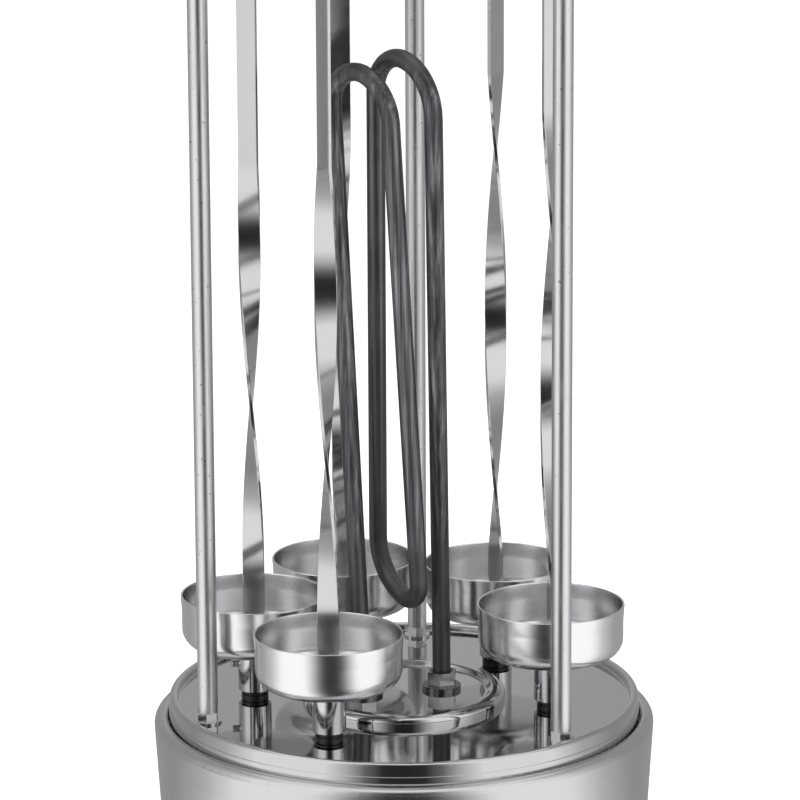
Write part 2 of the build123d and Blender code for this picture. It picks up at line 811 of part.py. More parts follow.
def skewer(twist_end):
    """Flat bar with a narrow tang, a left-hand twist and a flat rounded upper end."""
    half_tang = tang_width / 2
    half_blade = blade_width / 2
    taper_end = taper_start + taper_length
    side = [
        (half_tang, tang_bottom),
        (half_tang, taper_start),
        (half_blade, taper_end),
        (half_blade, twist_start),
    ]
    other_side = [(-x, z) for x, z in reversed(side)]
    outline = Plane.XZ * make_face(Polyline(*side, *other_side, close=True))
    foot = extrude(outline, blade_thickness / 2, both=True)
    twist_length = twist_end - twist_start
    twist_turn = -180 / blade_half_turn * twist_length
    section = Face.make_rect(blade_width, blade_thickness)
    twist = Solid.extrude_linear_with_rotation(section, (0, 0, 0), (0, 0, twist_length), twist_turn)
    end_height = skewer_top - half_blade - twist_end
    end = Pos(0, end_height / 2) * Rectangle(blade_width, end_height)
    end += Pos(0, end_height) * Circle(half_blade)
    end = Rot(0, 0, twist_turn) * extrude(Plane.XZ * end, blade_thickness / 2, both=True)
    return foot + Pos(0, 0, twist_start) * twist + Pos(0, 0, twist_end) * end


gear = hubbed_gear(gear_teeth, gear_width, gear_hub_radius, gear_hub_height, spindle_radius + press_gap)
for index, at in enumerate(stations):
    number = index + 1
    place = Pos(at.X, at.Y, 0)
    facing = place * Rot(0, 0, blade_headings[index])
    save(f"gear_{number}", place * Pos(0, 0, gear_bottom) * Rot(0, 0, gear_turns[index]) * gear)
    save(f"spindle_{number}", facing * spindle())
    save(f"sleeve_{number}", facing * sleeve())
    save(f"side_screw_{number}", facing * side_screw())
    save(f"cup_{number}", place * drip_cup())
    save(f"skewer_{number}", facing * skewer(disc_bottom - twist_ends_below_disc[index]))


# ---------------------------------------------------------------- motor
def motor_body():
    """Round gear motor that hangs under the carrier plate by two ears."""
    motor_bottom = plate_bottom - motor_height
    body = cylinder(motor_radius, motor_bottom, plate_bottom, pinion_at)
    ears = SlotOverall(2 * motor_ear_reach + motor_ear_width, motor_ear_width)
    ear_bottom = plate_bottom - motor_ear_thickness
    body += Pos(pinion_at.X, pinion_at.Y, ear_bottom) * extrude(ears, motor_ear_thickness)
    body = drilled(body, motor_screw_radius + thread_gap, ears_at, ear_bottom, plate_bottom)
    shaft_hole_bottom = plate_bottom - motor_shaft_depth - end_gap
    shaft_hole_radius = motor_shaft_radius + running_gap
    return body - cylinder(shaft_hole_radius, shaft_hole_bottom, plate_bottom + overcut, pinion_at)


def motor_screw(at):
    """Pan-head screw down through the plate into an ear."""
    shank = cylinder(motor_screw_radius, plate_bottom - motor_ear_thickness, plate_top, at)
    return shank + cylinder(motor_screw_head_radius, plate_top, plate_top + motor_screw_head_height, at)


shaft_bottom = plate_bottom - motor_shaft_depth
shaft_top = pinion_bottom + pinion_width + motor_shaft_end
save("motor_body", motor_body())
save("motor_shaft", cylinder(motor_shaft_radius, shaft_bottom, shaft_top, pinion_at))
save("motor_screws", *[motor_screw(at) for at in ears_at])


# ---------------------------------------------------------------- switch
def switch_frame():
    """Bezel and body of the rocker switch, with pin holes for the rocker."""
    bezel = Box(bezel_width, bezel_thickness, bezel_height)
    bezel = fillet(bezel.edges().filter_by(Axis.Y), bezel_corner_radius)
    frame = Pos(0, -bezel_back - bezel_thickness / 2, 0) * bezel
    body = Box(switch_body_width, switch_body_depth, switch_body_height)
    frame += Pos(0, -bezel_back + switch_body_depth / 2, 0) * body
    opening_width = rocker_width + 2 * rocker_side_gap
    opening_height = 2 * (rocker_radius + slot_gap)
    opening_depth = rocker_pivot_depth + rocker_radius + end_gap
    opening = Box(opening_width, opening_depth + overcut, opening_height)
    frame -= Pos(0, -bezel_front + (opening_depth - overcut) / 2, 0) * opening
    pin_hole = Cylinder(rocker_pin_radius + running_gap, rocker_width + 2 * (rocker_pin_reach + slot_gap))
    frame -= Pos(0, -rocker_pivot, 0) * Rot(0, 90, 0) * pin_hole
    return Pos(0, 0, switch_above_table) * frame


def switch_rocker():
    """Hollow-faced rocker on two side pins, resting on its off side."""
    rocker = Rot(0, 90, 0) * Cylinder(rocker_radius, rocker_width)
    hollow_centre = rocker_radius - rocker_hollow_depth + rocker_hollow_radius
    hollow = Cylinder(rocker_hollow_radius, rocker_width + 2 * overcut)
    rocker -= Pos(0, -hollow_centre, 0) * Rot(0, 90, 0) * hollow
    rocker += Rot(0, 90, 0) * Cylinder(rocker_pin_radius, rocker_width + 2 * rocker_pin_reach)
    return Pos(0, -rocker_pivot, switch_above_table) * Rot(-rocker_rest_tilt, 0, 0) * rocker


save("switch_frame", switch_frame())
save("switch_rocker", switch_rocker())


# ---------------------------------------------------------------- cord entry and terminals
def cord_grommet():
    """Rubber grommet in the rear wall."""
    wall_outside = shell_radius(cord_above_table + grommet_outer_radius) + grommet_gap
    low_inside = shell_radius(cord_above_table - grommet_inner_radius) - shell_wall
    wall_inside = sqrt(low_inside**2 - grommet_inner_radius**2) - grommet_gap
    front = wall_outside + grommet_outer_length
    outline = [
        (cord_radius, wall_inside - grommet_inner_length),
        (grommet_inner_radius, wall_inside - grommet_inner_length),
        (grommet_inner_radius, wall_inside),
        (grommet_neck_radius, wall_inside),
        (grommet_neck_radius, wall_outside),
        (grommet_outer_radius, wall_outside),
        (grommet_outer_radius, front - grommet_edge_radius),
        (grommet_outer_radius - grommet_edge_radius, front),
        (cord_radius, front),
    ]
    return Pos(0, 0, cord_above_table) * Rot(-90, 0, 0) * turned(outline)


def terminal_block():
    """Block in the middle of the carrier plate where the wires meet, with two rows of screw wells."""
    block = Box(terminal_block_length, terminal_block_width, terminal_block_height)
    block = Pos(0, 0, plate_top + terminal_block_height / 2) * block
    block_top = plate_top + terminal_block_height
    well = cylinder(terminal_well_radius, block_top - terminal_well_depth, block_top)
    for x in (-terminal_pitch, 0, terminal_pitch):
        for y in (-terminal_row_side, terminal_row_side):
            block -= Pos(x, y, 0) * well
    return block


save("cord_grommet", cord_grommet())
save("terminal_block", terminal_block())
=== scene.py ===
from math import cos, pi, radians, sin, tan
import bmesh
import bpy
from mathutils import Matrix, Vector


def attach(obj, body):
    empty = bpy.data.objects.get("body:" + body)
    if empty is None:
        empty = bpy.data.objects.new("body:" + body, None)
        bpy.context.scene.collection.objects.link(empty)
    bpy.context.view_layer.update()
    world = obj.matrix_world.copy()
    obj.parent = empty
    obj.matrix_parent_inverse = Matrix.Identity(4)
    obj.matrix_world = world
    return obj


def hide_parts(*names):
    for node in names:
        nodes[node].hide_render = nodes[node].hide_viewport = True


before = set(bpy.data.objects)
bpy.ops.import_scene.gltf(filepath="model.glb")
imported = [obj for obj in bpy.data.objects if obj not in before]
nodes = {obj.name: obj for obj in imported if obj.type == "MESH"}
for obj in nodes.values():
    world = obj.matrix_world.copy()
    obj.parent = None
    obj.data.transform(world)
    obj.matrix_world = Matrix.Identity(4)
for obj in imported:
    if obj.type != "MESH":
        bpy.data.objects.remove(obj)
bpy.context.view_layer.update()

scene = bpy.context.scene
scene.view_settings.view_transform = "Standard"


# ---------------------------------------------------------------- camera
# The photograph looks down about 14 degrees with a long lens, from a little left of the wide
# gap between the first and the last skewer. The origin is on the table, under the grill's axis.
deck_top = 0.095
view_heading = radians(-24.34)
view_turn = Matrix.Rotation(view_heading, 4, "Z")
camera_aside = 0.00502
camera_distance = 2.02686
camera_above_deck = 0.65025
camera_swing = 0.003
camera_pitch = pi / 2 - 0.249
camera_roll = -0.005


def seen_from_front(across, away, height):
    """A place in the photograph's own directions: to the right, away from the camera, up."""
    return view_turn @ Vector((across, away, height))


camera_data = bpy.data.cameras.new("camera")
camera_data.sensor_width = 36
camera_data.lens = 216.83
camera_data.clip_end = 50
camera = bpy.data.objects.new("camera", camera_data)
scene.collection.objects.link(camera)
camera_at = seen_from_front(camera_aside, -camera_distance, deck_top + camera_above_deck)
camera_heading = view_turn @ Matrix.Rotation(camera_swing, 4, "Z")
camera_tilt = Matrix.Rotation(camera_pitch, 4, "X") @ Matrix.Rotation(camera_roll, 4, "Z")
camera.matrix_world = Matrix.Translation(camera_at) @ camera_heading @ camera_tilt
scene.camera = camera


# ---------------------------------------------------------------- studio
# A white table in a white room, with two tall soft lamps left and right of the camera and one
# above. A wide shade round the grill shows in the metal only: dark towards the camera, white
# to both sides of it and grey behind, which gives the bars and cups their dark middle line.
white = (1, 1, 1, 1)
table_half_width = 15
lamps_aim_at = Vector((0, 0, deck_top + 0.1))


def node_tree(owner):
    """An empty node tree on a material or a world."""
    owner.use_nodes = True
    owner.node_tree.nodes.clear()
    return owner.node_tree


def add_node(tree, kind, inputs=None, **settings):
    """A node with its settings, and its inputs set or linked by name or number."""
    made = tree.nodes.new(kind)
    for name, value in settings.items():
        setattr(made, name, value)
    for key, value in (inputs or {}).items():
        if isinstance(value, bpy.types.NodeSocket):
            tree.links.new(value, made.inputs[key])
        else:
            made.inputs[key].default_value = value
    return made


def calculate(tree, operation, *terms):
    """The result of one Math node."""
    numbered = dict(enumerate(terms))
    return add_node(tree, "ShaderNodeMath", numbered, operation=operation).outputs[0]


def white_to_eyes(tree):
    """1 for camera rays and for mirror or glass rays, 0 for light that falls on things."""
    rays = add_node(tree, "ShaderNodeLightPath").outputs
    straight_or_mirrored = calculate(tree, "MAXIMUM", rays["Is Camera Ray"], rays["Is Glossy Ray"])
    return calculate(tree, "MAXIMUM", straight_or_mirrored, rays["Is Transmission Ray"])


room = bpy.data.worlds.new("white_room")
scene.world = room
tree = node_tree(room)
fill = add_node(tree, "ShaderNodeBackground", {"Color": white, "Strength": 0.45})
plain_white = add_node(tree, "ShaderNodeBackground", {"Color": white, "Strength": 1.0})
mixed = add_node(tree, "ShaderNodeMixShader", {
    0: white_to_eyes(tree), 1: fill.outputs[0], 2: plain_white.outputs[0],
})
add_node(tree, "ShaderNodeOutputWorld", {"Surface": mixed.outputs[0]})


def mesh_object(name, bm, smooth_angle=None):
    """An object from a bmesh, smooth where its faces meet at less than the angle in degrees."""
    mesh = bpy.data.meshes.new(name)
    bm.to_mesh(mesh)
    bm.free()
    if smooth_angle is not None:
        mesh.shade_smooth()
        mesh.set_sharp_from_angle(angle=radians(smooth_angle))
    made = bpy.data.objects.new(name, mesh)
    scene.collection.objects.link(made)
    return made


bm = bmesh.new()
bmesh.ops.create_grid(bm, x_segments=1, y_segments=1, size=table_half_width)
table = mesh_object("table_top", bm)
table_white = bpy.data.materials.new("table_white")
tree = node_tree(table_white)
matt = add_node(tree, "ShaderNodeBsdfDiffuse", {"Color": (0.8, 0.8, 0.8, 1)})
glow = add_node(tree, "ShaderNodeEmission", {"Color": white, "Strength": 0.64})
dark = add_node(tree, "ShaderNodeEmission", {"Color": (0, 0, 0, 1), "Strength": 0.0})
lift = add_node(tree, "ShaderNodeMixShader", {
    0: white_to_eyes(tree), 1: dark.outputs[0], 2: glow.outputs[0],
})
both = add_node(tree, "ShaderNodeAddShader", {0: matt.outputs[0], 1: lift.outputs[0]})
add_node(tree, "ShaderNodeOutputMaterial", {"Surface": both.outputs[0]})
table.data.materials.append(table_white)


def spin_round(bm, steps, centre=(0, 0)):
    """Turn the outline in a bmesh once round an upright axis, closed where it meets itself."""
    bmesh.ops.spin(
        bm, geom=[*bm.verts, *bm.edges], cent=(*centre, 0), axis=(0, 0, 1), dvec=(0, 0, 0),
        angle=2 * pi, steps=steps, use_merge=True, use_duplicate=False,
    )
    bmesh.ops.remove_doubles(bm, verts=bm.verts, dist=1e-6)


# Radius and height along the shade, a wide bowl that starts close round the base
shade_profile = [(0.118, 0.0005), (0.45, 0.02), (0.68, 0.12), (0.75, 0.3), (0.75, 1.1)]
bm = bmesh.new()
profile = [bm.verts.new((radius, 0, height)) for radius, height in shade_profile]
for pair in zip(profile, profile[1:]):
    bm.edges.new(pair)
spin_round(bm, steps=72)
shade = mesh_object("shade_round_grill", bm, smooth_angle=80)
shade.visible_camera = False
shade.visible_diffuse = False
shade.visible_shadow = False

# How far round from the camera, as a share of the half turn to the far side, and how bright
shade_tones = [
    (0.0, 0.03), (0.05, 0.04), (0.09, 0.2), (0.135, 0.66), (0.19, 1.14),
    (0.37, 1.12), (0.47, 0.6), (0.6, 0.36), (0.85, 0.36), (1.0, 0.5),
]


def set_ramp(ramp_node, stops):
    """Grey or coloured stops on a colour ramp."""
    ramp = ramp_node.color_ramp
    while len(ramp.elements) < len(stops):
        ramp.elements.new(0.5)
    for element, (place, tone) in zip(ramp.elements, stops):
        element.position = place
        element.color = (tone, tone, tone, 1) if isinstance(tone, float) else (*tone, 1)


shade_grey = bpy.data.materials.new("shade_grey")
tree = node_tree(shade_grey)
turned_back = add_node(tree, "ShaderNodeMapping", {
    "Vector": add_node(tree, "ShaderNodeTexCoord").outputs["Object"],
    "Rotation": (0, 0, -view_heading),
})
sides = add_node(tree, "ShaderNodeSeparateXYZ", {"Vector": turned_back.outputs[0]}).outputs
toward = calculate(tree, "MULTIPLY", sides["Y"], -1.0)
heading = calculate(tree, "ABSOLUTE", calculate(tree, "ARCTAN2", sides["X"], toward))
ramp = add_node(tree, "ShaderNodeValToRGB", {"Fac": calculate(tree, "DIVIDE", heading, pi)})
set_ramp(ramp, shade_tones)
tone = add_node(tree, "ShaderNodeEmission", {"Color": ramp.outputs["Color"], "Strength": 1.0})
add_node(tree, "ShaderNodeOutputMaterial", {"Surface": tone.outputs[0]})
shade.data.materials.append(shade_grey)


def soft_lamp(name, place, width, tall, watts):
    """A soft area lamp that points at the middle of the grill."""
    data = bpy.data.lights.new(name, "AREA")
    data.shape = "RECTANGLE"
    data.size = width
    data.size_y = tall
    data.energy = watts
    lamp = bpy.data.objects.new(name, data)
    scene.collection.objects.link(lamp)
    lamp.visible_glossy = False
    turn = (lamps_aim_at - place).to_track_quat("-Z", "Y")
    lamp.matrix_world = Matrix.Translation(place) @ turn.to_matrix().to_4x4()


soft_lamp("lamp_left", seen_from_front(-1.5, -1.3, 1.1), width=0.8, tall=1.4, watts=14)
soft_lamp("lamp_right", seen_from_front(1.5, -1.3, 1.1), width=0.8, tall=1.4, watts=14)
soft_lamp("lamp_above", seen_from_front(0, 0.2, 2.2), width=1.6, tall=1.6, watts=18)


# ---------------------------------------------------------------- base shell
# The body of the grill: one steel sheet, pressed to a tapered tub with a flat shoulder round
# the deck, then spun and brushed round its axis to a satin finish.
def surface_group(name, numbers, outputs):
    """An empty shader node group with a Vector input, named numbers and grey outputs."""
    group = bpy.data.node_groups.new(name, "ShaderNodeTree")
    group.interface.new_socket("Vector", in_out="INPUT", socket_type="NodeSocketVector")
    for number, value in numbers.items():
        socket = group.interface.new_socket(number, in_out="INPUT", socket_type="NodeSocketFloat")
        socket.default_value = value
    for output in outputs:
        group.interface.new_socket(output, in_out="OUTPUT", socket_type="NodeSocketFloat")
    given = add_node(group, "NodeGroupInput").outputs
    result = add_node(group, "NodeGroupOutput").inputs
    return group, given, result


def noise(tree, vector, scale=1.0, detail=3.0, roughness=0.55, distortion=0.0):
    """A grey noise from 0 to 1."""
    return add_node(tree, "ShaderNodeTexNoise", {
        "Vector": vector, "Scale": scale, "Detail": detail,
        "Roughness": roughness, "Distortion": distortion,
    }).outputs[0]


def spread(tree, value, low, high, to_low=0.0, to_high=1.0):
    """A grey value stretched from one range to another."""
    ends = {"From Min": low, "From Max": high, "To Min": to_low, "To Max": to_high}
    return add_node(tree, "ShaderNodeMapRange", {"Value": value, **ends}).outputs[0]


# Fine rings left by spinning: noise on the distance from the axis and on the height.
turned_lines, given, result = surface_group(
    "turned_lines", {"Fineness": 900.0, "Streak": 1.5}, ["Lines"],
)
axes = add_node(turned_lines, "ShaderNodeSeparateXYZ", {"Vector": given["Vector"]}).outputs
across_squared = calculate(turned_lines, "MULTIPLY", axes["X"], axes["X"])
away_squared = calculate(turned_lines, "MULTIPLY", axes["Y"], axes["Y"])
distance_squared = calculate(turned_lines, "ADD", across_squared, away_squared)
axis_distance = calculate(turned_lines, "SQRT", distance_squared)
way_round = calculate(turned_lines, "ARCTAN2", axes["Y"], axes["X"])
ring_place = add_node(turned_lines, "ShaderNodeCombineXYZ", {
    "X": calculate(turned_lines, "MULTIPLY", axis_distance, given["Fineness"]),
    "Y": calculate(turned_lines, "MULTIPLY", axes["Z"], given["Fineness"]),
    "Z": calculate(turned_lines, "MULTIPLY", way_round, given["Streak"]),
})
rings = noise(turned_lines, ring_place.outputs[0], detail=4.0, roughness=0.7)
turned_lines.links.new(spread(turned_lines, rings, 0.28, 0.72), result["Lines"])

# Wiped patches and small spots from handling.
handling_marks, given, result = surface_group(
    "handling_marks", {"Patch": 45.0, "Spot": 620.0}, ["Smudge", "Specks"],
)
patches = noise(
    handling_marks, given["Vector"], given["Patch"], detail=5.0, roughness=0.6, distortion=0.8,
)
handling_marks.links.new(spread(handling_marks, patches, 0.45, 0.75), result["Smudge"])
spots = noise(handling_marks, given["Vector"], given["Spot"], detail=1.0, roughness=0.4)
handling_marks.links.new(spread(handling_marks, spots, 0.72, 0.76), result["Specks"])

spot_brown = (0.06, 0.055, 0.05, 1)


def tone_range(colour, contrast):
    """Ramp stops from a darker to a lighter tone of a colour."""
    darker = tuple(part * (1 - contrast) for part in colour)
    lighter = tuple(min(part * (1 + contrast), 1.0) for part in colour)
    return [(0.0, darker), (1.0, lighter)]


def metal_finish(
    name, colour, contrast, roughness, grain, grain_numbers, relief=0.15, centre=(0, 0),
    smudge=0.06, rough_spread=0.05, specks=0.0, from_map=False,
):
    """A metal with fine lines in its colour, gloss and relief, and wiped patches over them."""
    made = bpy.data.materials.new(name)
    tree = node_tree(made)
    coordinates = add_node(tree, "ShaderNodeTexCoord").outputs
    place = add_node(tree, "ShaderNodeMapping", {
        "Vector": coordinates["UV"] if from_map else coordinates["Object"],
        "Location": (-centre[0], -centre[1], 0),
    }).outputs[0]
    grain_at = {"Vector": place, **grain_numbers}
    lines = add_node(tree, "ShaderNodeGroup", grain_at, node_tree=grain).outputs["Lines"]
    marks_at = {"Vector": coordinates["Object"]}
    marks = add_node(tree, "ShaderNodeGroup", marks_at, node_tree=handling_marks).outputs
    ramp = add_node(tree, "ShaderNodeValToRGB", {"Fac": lines})
    set_ramp(ramp, tone_range(colour, contrast))
    base_colour = ramp.outputs["Color"]
    if specks:
        # Inputs 6 and 7 of a Mix node are its two colours, and output 2 is the mixed colour.
        dirt = calculate(tree, "MULTIPLY", marks["Specks"], specks)
        mixing = {"Factor": dirt, 6: base_colour, 7: spot_brown}
        base_colour = add_node(tree, "ShaderNodeMix", mixing, data_type="RGBA").outputs[2]
    gloss = spread(tree, lines, 0.0, 1.0, roughness - rough_spread, roughness + rough_spread)
    gloss = calculate(tree, "ADD", gloss, calculate(tree, "MULTIPLY", marks["Smudge"], smudge))
    bump = add_node(tree, "ShaderNodeBump", {
        "Height": lines, "Strength": relief, "Distance": 0.00005,
    })
    metal = add_node(tree, "ShaderNodeBsdfPrincipled", {
        "Base Color": base_colour, "Roughness": gloss, "Metallic": 1.0, "Normal": bump.outputs[0],
    })
    add_node(tree, "ShaderNodeOutputMaterial", {"Surface": metal.outputs[0]})
    return made


def dress(material, *names):
    """Give nodes of the frame their finish."""
    for name in names:
        for slot in nodes[name].material_slots:
            slot.material = material


shell_satin = metal_finish(
    "shell_satin", (0.63, 0.63, 0.63), contrast=0.05, roughness=0.22,
    grain=turned_lines, grain_numbers={"Fineness": 2600.0, "Streak": 2.0}, relief=0.06,
)
dress(shell_satin, "base_shell")


# ---------------------------------------------------------------- bottom cover and feet
# A flat zinc-plated cover with vent slots closes the base. Four turned rubber feet hold it,
# each with a screw up its middle into the flange of the shell.

# Fine straight lines along a drawn bar or a rolled blade.
drawn_lines, given, result = surface_group(
    "drawn_lines", {"Fineness": 1800.0, "Length": 12.0}, ["Lines"],
)
axes = add_node(drawn_lines, "ShaderNodeSeparateXYZ", {"Vector": given["Vector"]}).outputs
line_place = add_node(drawn_lines, "ShaderNodeCombineXYZ", {
    "X": calculate(drawn_lines, "MULTIPLY", axes["X"], given["Fineness"]),
    "Y": calculate(drawn_lines, "MULTIPLY", axes["Y"], given["Fineness"]),
    "Z": calculate(drawn_lines, "MULTIPLY", axes["Z"], given["Length"]),
})
streaks = noise(drawn_lines, line_place.outputs[0], detail=3.0, roughness=0.65)
drawn_lines.links.new(spread(drawn_lines, streaks, 0.3, 0.7), result["Lines"])

# Grains for moulded, cast and painted things: a coarse cloud and a fine tooth.
moulded_grain, given, result = surface_group(
    "moulded_grain", {"Cloud": 60.0, "Tooth": 1500.0}, ["Cloud", "Tooth"],
)
clouds = noise(moulded_grain, given["Vector"], given["Cloud"], detail=4.0)
moulded_grain.links.new(spread(moulded_grain, clouds, 0.3, 0.7), result["Cloud"])
teeth = noise(moulded_grain, given["Vector"], given["Tooth"], detail=2.0)
moulded_grain.links.new(spread(moulded_grain, teeth, 0.3, 0.7), result["Tooth"])


def moulded_finish(
    name, colour, contrast, roughness, relief=0.2, cloud=60.0, tooth=1500.0, metallic=0.0,
    rough_spread=0.06,
):
    """A moulded, cast or painted surface with soft clouds in its colour and a fine tooth."""
    made = bpy.data.materials.new(name)
    tree = node_tree(made)
    place = add_node(tree, "ShaderNodeTexCoord").outputs["Object"]
    grain_at = {"Vector": place, "Cloud": cloud, "Tooth": tooth}
    grain = add_node(tree, "ShaderNodeGroup", grain_at, node_tree=moulded_grain).outputs
    ramp = add_node(tree, "ShaderNodeValToRGB", {"Fac": grain["Cloud"]})
    set_ramp(ramp, tone_range(colour, contrast))
    smoothest = roughness - rough_spread
    roughest = roughness + rough_spread
    gloss = spread(tree, grain["Tooth"], 0.0, 1.0, smoothest, roughest)
    bump = add_node(tree, "ShaderNodeBump", {
        "Height": grain["Tooth"], "Strength": relief, "Distance": 0.0001,
    })
    paint = add_node(tree, "ShaderNodeBsdfPrincipled", {
        "Base Color": ramp.outputs["Color"], "Roughness": gloss, "Metallic": metallic,
        "Normal": bump.outputs[0],
    })
    add_node(tree, "ShaderNodeOutputMaterial", {"Surface": paint.outputs[0]})
    return made


zinc_sheet = moulded_finish(
    "zinc_sheet", (0.52, 0.53, 0.55), contrast=0.14, roughness=0.38,
    cloud=120.0, tooth=900.0, metallic=1.0,
)
foot_rubber = moulded_finish(
    "foot_rubber", (0.018, 0.018, 0.018), contrast=0.25, roughness=0.72, relief=0.35,
)
zinc_screws = metal_finish(
    "zinc_screws", (0.55, 0.56, 0.58), contrast=0.16, roughness=0.3,
    grain=drawn_lines, grain_numbers={"Fineness": 2400.0, "Length": 2400.0},
)
dress(zinc_sheet, "bottom_cover")
dress(foot_rubber, "rubber_feet")
dress(zinc_screws, "foot_screws")


# ---------------------------------------------------------------- carrier plate and spacer tubes
# Inside the base a round plate of plated sheet sits on the spacer tubes. It carries five
# bronze bearings and the gear motor.
tube_steel = metal_finish(
    "tube_steel", (0.56, 0.57, 0.58), contrast=0.14, roughness=0.3,
    grain=drawn_lines, grain_numbers={"Fineness": 1500.0, "Length": 40.0},
)
bearing_bronze = moulded_finish(
    "bearing_bronze", (0.46, 0.27, 0.11), contrast=0.22, roughness=0.36,
    cloud=300.0, tooth=2500.0, metallic=1.0,
)
dress(zinc_sheet, "carrier_plate")
dress(tube_steel, "spacer_tubes")
dress(bearing_bronze, "lower_bushes")


# ---------------------------------------------------------------- gear motor
# A flat round gear motor in a painted steel can, screwed under the plate by its two ears.
# Its plated shaft carries a moulded pinion.
motor_paint = moulded_finish(
    "motor_paint", (0.34, 0.35, 0.36), contrast=0.08, roughness=0.42, relief=0.3,
    cloud=90.0, tooth=1100.0, metallic=0.2,
)
pinion_plastic = moulded_finish(
    "pinion_plastic", (0.62, 0.60, 0.54), contrast=0.06, roughness=0.42,
    cloud=140.0, tooth=1800.0,
)
dress(motor_paint, "motor_body")
dress(zinc_screws, "motor_screws")
dress(tube_steel, "motor_shaft")
dress(pinion_plastic, "motor_pinion")


# ---------------------------------------------------------------- gears and spindles
# Five moulded spur gears mesh in a chain round the horseshoe of stations, so that next
# neighbours turn opposite ways. Each is pressed on a turned steel spindle.
station_numbers = range(1, 6)
gear_plastic = moulded_finish(
    "gear_plastic", (0.72, 0.70, 0.63), contrast=0.05, roughness=0.4,
    cloud=120.0, tooth=1600.0,
)
for number in station_numbers:
    dress(gear_plastic, f"gear_{number}")
    dress(tube_steel, f"spindle_{number}")


# ---------------------------------------------------------------- switch, cord entry, terminals
# A rocker switch in a glossy black frame in the front of the wall. A rubber grommet at the
# back lets a cord in, and a small ceramic block on the carrier plate joins the wires.
switch_gloss = moulded_finish(
    "switch_gloss", (0.012, 0.012, 0.013), contrast=0.2, roughness=0.2, relief=0.08,
    rough_spread=0.05,
)
block_ceramic = moulded_finish(
    "block_ceramic", (0.78, 0.76, 0.70), contrast=0.07, roughness=0.36, relief=0.25,
    cloud=200.0, tooth=1300.0,
)
dress(switch_gloss, "switch_frame", "switch_rocker")
dress(foot_rubber, "cord_grommet")
dress(block_ceramic, "terminal_block")


# ---------------------------------------------------------------- deck
# A steel disc polished to a mirror, which drops into the shell. Its rounded bead and the step
# outside it are pressed in, and holes are punched for the stations, posts and heater.
deck_wall = 0.0012
deck_floor_edge = 0.0965
bead_inside = 0.0994
bead_outside = 0.1031
bead_top = deck_top + 0.0033
step_top = deck_top - 0.0027
skirt_outside = 0.1035
skirt_foot = 0.085


def round_the_axis(distance, heading):
    """A place at a distance from the grill's axis and a heading in degrees from +X."""
    return distance * Vector((cos(radians(heading)), sin(radians(heading))))


# The middle station stands at 90 degrees, and next neighbours are 63.3 degrees apart.
stations = [round_the_axis(0.06575, 90 + 63.3 * step) for step in (-2, -1, 0, 1, 2)]
posts_at = [round_the_axis(0.0918, heading) for heading in (61.9, 178.0, 292.8)]
heater_feet = [Vector((-0.0176, 0.0039)), Vector((0.0167, -0.0035))]

# The place, radius and number of sides of each hole
centre_hole = (Vector((0, 0)), 0.008, 32)
bush_holes = [(place, 0.00505, 32) for place in stations]
stud_holes = [(place, 0.00275, 24) for place in posts_at]
collar_holes = [(place, 0.00525, 32) for place in heater_feet]


def rounded_outline(bm, corners):
    """A flat outline in the XZ plane from corners of radius, height and rounding."""
    points = [Vector((radius, 0, height)) for radius, height, _ in corners]
    face = bm.faces.new([bm.verts.new(point) for point in points])
    for index, (_, _, rounding) in enumerate(corners):
        if rounding:
            before = points[index - 1] - points[index]
            after = points[(index + 1) % len(points)] - points[index]
            reach = rounding / tan(before.angle(after) / 2)
            corner = min(bm.verts, key=lambda vert: (vert.co - points[index]).length)
            bmesh.ops.bevel(
                bm, geom=[corner], offset=reach, offset_type="OFFSET", segments=8, profile=0.5,
                affect="VERTICES", material=-1,
            )
    bmesh.ops.delete(bm, geom=list(bm.faces), context="FACES_ONLY")


def only(kind, parts):
    """The parts of one kind, such as faces, among those that an operator made."""
    return [part for part in parts if isinstance(part, kind)]


def punched_floor(bm, edge, top, wall, holes, steps):
    """A flat round floor with punched holes, open at its outer edge where a rim carries on."""
    for place, radius, sides in [(Vector((0, 0)), edge, steps), *holes]:
        at = Matrix.Translation((place.x, place.y, top))
        bmesh.ops.create_circle(bm, cap_ends=False, radius=radius, segments=sides, matrix=at)
    flat = bmesh.ops.triangle_fill(bm, use_beauty=True, use_dissolve=False, edges=bm.edges)
    faces = only(bmesh.types.BMFace, flat["geom"])
    under = bmesh.ops.extrude_face_region(bm, geom=faces, use_keep_orig=True)["geom"]
    bmesh.ops.translate(bm, vec=(0, 0, -wall), verts=only(bmesh.types.BMVert, under))
    at_edge = [
        face for face in bm.faces if all(vert.co.xy.length > edge - 1e-5 for vert in face.verts)
    ]
    bmesh.ops.delete(bm, geom=at_edge, context="FACES")


def pressed_disc(name, rim, floor_edge, floor_top, wall, holes, steps):
    """A pressed disc: a spun rim, joined to a punched floor where its outline is left open."""
    bm = bmesh.new()
    rounded_outline(bm, rim)
    at_floor = [
        edge for edge in bm.edges if all(abs(vert.co.x - floor_edge) < 1e-6 for vert in edge.verts)
    ]
    bmesh.ops.delete(bm, geom=at_floor, context="EDGES")
    spin_round(bm, steps)
    floor = bmesh.new()
    punched_floor(floor, floor_edge, floor_top, wall, holes, steps)
    floor_mesh = bpy.data.meshes.new(name + "_floor")
    floor.to_mesh(floor_mesh)
    floor.free()
    bm.from_mesh(floor_mesh)
    bpy.data.meshes.remove(floor_mesh)
    bmesh.ops.remove_doubles(bm, verts=bm.verts, dist=1e-5)
    bmesh.ops.recalc_face_normals(bm, faces=bm.faces)
    return mesh_object(name, bm, smooth_angle=35)


